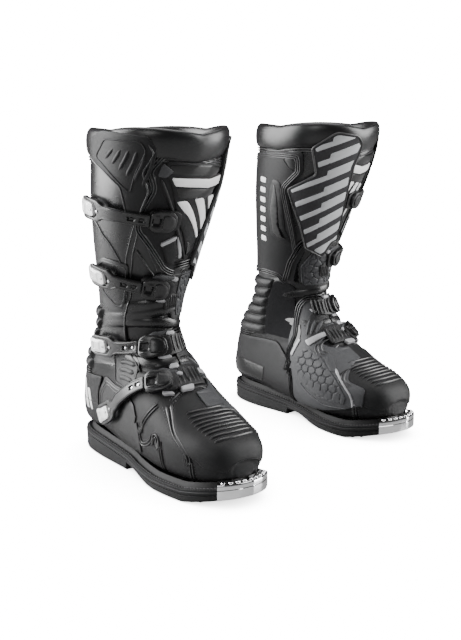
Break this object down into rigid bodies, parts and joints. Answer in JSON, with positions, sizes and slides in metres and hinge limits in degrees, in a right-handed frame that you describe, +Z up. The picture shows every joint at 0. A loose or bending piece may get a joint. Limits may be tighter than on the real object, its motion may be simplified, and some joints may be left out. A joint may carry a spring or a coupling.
{
  "type": "riding boots",
  "caption": "Pair of tall black motocross boots with buckled straps, ribbed ankle gaiter, moulded shin and ankle guards, stitched sole and polished toe plates.",
  "frame": {"origin": "centre of the pair's bounding box, at ground level", "axes": "+Z up; +X to the right and +Y away, seen from the side on which the pair shows the outside of the right boot and the inside of the left boot"},
  "size_m": [0.4276, 0.4646, 0.4037],
  "materials": {
    "sole_rubber": "matt",
    "guard_rubber": "matt, embossed",
    "black_leather": "smooth, semi-gloss",
    "matte_plastic": "matt, embossed",
    "lever_plastic": "satin, silver-white",
    "polished_metal": "polished",
    "striped_fabric": "woven, grey diagonal stripes",
    "lining_fabric": "woven"
  },
  "bodies": {
    "right_foot": {"right_outsole": "sole_rubber", "right_midsole": "sole_rubber", "right_toe_plate": "polished_metal", "right_footbed": "lining_fabric", "right_foot_upper": "black_leather", "right_toe_cap": "matte_plastic", "right_heel_counter": "matte_plastic", "right_inner_ankle_guard": "guard_rubber", "right_ankle_holder": "matte_plastic", "right_instep_holder": "matte_plastic", "right_flex_cuff": "black_leather", "right_rear_gaiter": "guard_rubber"},
    "right_leg": {"right_leg_shaft": "black_leather", "right_collar": "black_leather", "right_shin_guard": "matte_plastic", "right_outer_calf_panel": "matte_plastic", "right_inner_calf_panel": "striped_fabric", "right_inner_shin_guard": "guard_rubber", "right_rear_calf_panel": "matte_plastic", "right_upper_holder": "matte_plastic", "right_calf_holder": "matte_plastic"},
    "left_foot": {"left_outsole": "sole_rubber", "left_midsole": "sole_rubber", "left_toe_plate": "polished_metal", "left_footbed": "lining_fabric", "left_foot_upper": "black_leather", "left_toe_cap": "matte_plastic", "left_heel_counter": "matte_plastic", "left_inner_ankle_guard": "guard_rubber", "left_ankle_holder": "matte_plastic", "left_instep_holder": "matte_plastic", "left_flex_cuff": "black_leather", "left_rear_gaiter": "guard_rubber"},
    "left_leg": {"left_leg_shaft": "black_leather", "left_collar": "black_leather", "left_shin_guard": "matte_plastic", "left_outer_calf_panel": "matte_plastic", "left_inner_calf_panel": "striped_fabric", "left_inner_shin_guard": "guard_rubber", "left_rear_calf_panel": "matte_plastic", "left_upper_holder": "matte_plastic", "left_calf_holder": "matte_plastic"},
    "right_upper_strap": {"right_upper_strap": "matte_plastic"},
    "right_upper_lever": {"right_upper_lever": "lever_plastic"},
    "right_calf_strap": {"right_calf_strap": "matte_plastic"},
    "right_calf_lever": {"right_calf_lever": "lever_plastic"},
    "right_ankle_strap": {"right_ankle_strap": "matte_plastic"},
    "right_ankle_lever": {"right_ankle_lever": "lever_plastic"},
    "right_instep_strap": {"right_instep_strap": "matte_plastic"},
    "right_instep_lever": {"right_instep_lever": "lever_plastic"},
    "left_upper_strap": {"left_upper_strap": "matte_plastic"},
    "left_upper_lever": {"left_upper_lever": "lever_plastic"},
    "left_calf_strap": {"left_calf_strap": "matte_plastic"},
    "left_calf_lever": {"left_calf_lever": "lever_plastic"},
    "left_ankle_strap": {"left_ankle_strap": "matte_plastic"},
    "left_ankle_lever": {"left_ankle_lever": "lever_plastic"},
    "left_instep_strap": {"left_instep_strap": "matte_plastic"},
    "left_instep_lever": {"left_instep_lever": "lever_plastic"}
  },
  "joints": [
    {"name": "right_ankle_flex", "type": "hinge", "parent": "right_foot", "child": "right_leg", "pos_m": [-0.14108, -0.05886, 0.112], "axis": [0.766, 0.6428, 0], "range_deg": [-6, 12], "stiffness_Nm_per_rad": 40, "deforming": ["right_flex_cuff", "right_rear_gaiter"]},
    {"name": "right_upper_strap_turns", "type": "hinge", "parent": "right_leg", "child": "right_upper_strap", "pos_m": [-0.1171, -0.1556, 0.30238], "axis": [0.1715, -0.3089, 0.9355], "range_deg": [0, 35]},
    {"name": "right_upper_lever_opens", "type": "hinge", "parent": "right_upper_strap", "child": "right_upper_lever", "pos_m": [-0.17916, -0.12842, 0.31106], "axis": [-0.0345, -0.142, 0.9893], "range_deg": [0, 60]},
    {"name": "right_calf_strap_turns", "type": "hinge", "parent": "right_leg", "child": "right_calf_strap", "pos_m": [-0.12972, -0.12946, 0.2236], "axis": [0.2012, -0.2984, 0.933], "range_deg": [0, 35]},
    {"name": "right_calf_lever_opens", "type": "hinge", "parent": "right_calf_strap", "child": "right_calf_lever", "pos_m": [-0.17116, -0.11399, 0.23098], "axis": [-0.0662, -0.2397, 0.9686], "range_deg": [0, 60]},
    {"name": "right_ankle_strap_turns", "type": "hinge", "parent": "right_foot", "child": "right_ankle_strap", "pos_m": [-0.13532, -0.11962, 0.15238], "axis": [0.0481, 0.2513, 0.9667], "range_deg": [0, 35]},
    {"name": "right_ankle_lever_opens", "type": "hinge", "parent": "right_ankle_strap", "child": "right_ankle_lever", "pos_m": [-0.17436, -0.09212, 0.14641], "axis": [-0.1037, -0.0101, 0.9946], "range_deg": [0, 60]},
    {"name": "right_instep_strap_turns", "type": "hinge", "parent": "right_foot", "child": "right_instep_strap", "pos_m": [-0.12673, -0.14563, 0.11737], "axis": [-0.064, 0.5642, 0.8232], "range_deg": [0, 35]},
    {"name": "right_instep_lever_opens", "type": "hinge", "parent": "right_instep_strap", "child": "right_instep_lever", "pos_m": [-0.17332, -0.09741, 0.0691], "axis": [-0.2483, 0.4629, 0.8509], "range_deg": [0, 60]},
    {"name": "left_boot_lifts_away", "type": "slide", "parent": "right_foot", "child": "left_foot", "axis": [0, 0, 1], "range_m": [0, 0.45]},
    {"name": "left_ankle_flex", "type": "hinge", "parent": "left_foot", "child": "left_leg", "pos_m": [0.05437, 0.15419, 0.112], "axis": [0.7314, 0.682, 0], "range_deg": [-6, 12], "stiffness_Nm_per_rad": 40, "deforming": ["left_flex_cuff", "left_rear_gaiter"]},
    {"name": "left_upper_strap_turns", "type": "hinge", "parent": "left_leg", "child": "left_upper_strap", "pos_m": [0.14746, 0.1186, 0.30238], "axis": [-0.2857, 0.2079, -0.9355], "range_deg": [0, 35]},
    {"name": "left_upper_lever_opens", "type": "hinge", "parent": "left_upper_strap", "child": "left_upper_lever", "pos_m": [0.12804, 0.1835, 0.31106], "axis": [-0.1451, -0.0169, -0.9893], "range_deg": [0, 60]},
    {"name": "left_calf_strap_turns", "type": "hinge", "parent": "left_leg", "child": "left_calf_strap", "pos_m": [0.12306, 0.13431, 0.2236], "axis": [-0.2717, 0.2361, -0.933], "range_deg": [0, 35]},
    {"name": "left_calf_lever_opens", "type": "hinge", "parent": "left_calf_strap", "child": "left_calf_lever", "pos_m": [0.11274, 0.17733, 0.23098], "axis": [-0.2459, -0.0365, -0.9686], "range_deg": [0, 60]},
    {"name": "left_ankle_strap_turns", "type": "hinge", "parent": "left_foot", "child": "left_ankle_strap", "pos_m": [0.11396, 0.14106, 0.15238], "axis": [0.2553, 0.0172, -0.9667], "range_deg": [0, 35]},
    {"name": "left_ankle_lever_opens", "type": "hinge", "parent": "left_ankle_strap", "child": "left_ankle_lever", "pos_m": [0.09143, 0.18316, 0.14641], "axis": [-0.0227, -0.1017, -0.9946], "range_deg": [0, 60]},
    {"name": "left_instep_strap_turns", "type": "hinge", "parent": "left_foot", "child": "left_instep_strap", "pos_m": [0.13874, 0.12936, 0.11737], "axis": [0.5522, -0.1322, -0.8232], "range_deg": [0, 35]},
    {"name": "left_instep_lever_opens", "type": "hinge", "parent": "left_instep_strap", "child": "left_instep_lever", "pos_m": [0.09656, 0.18149, 0.0691], "axis": [0.4292, -0.3029, -0.8509], "range_deg": [0, 60]}
  ]
}
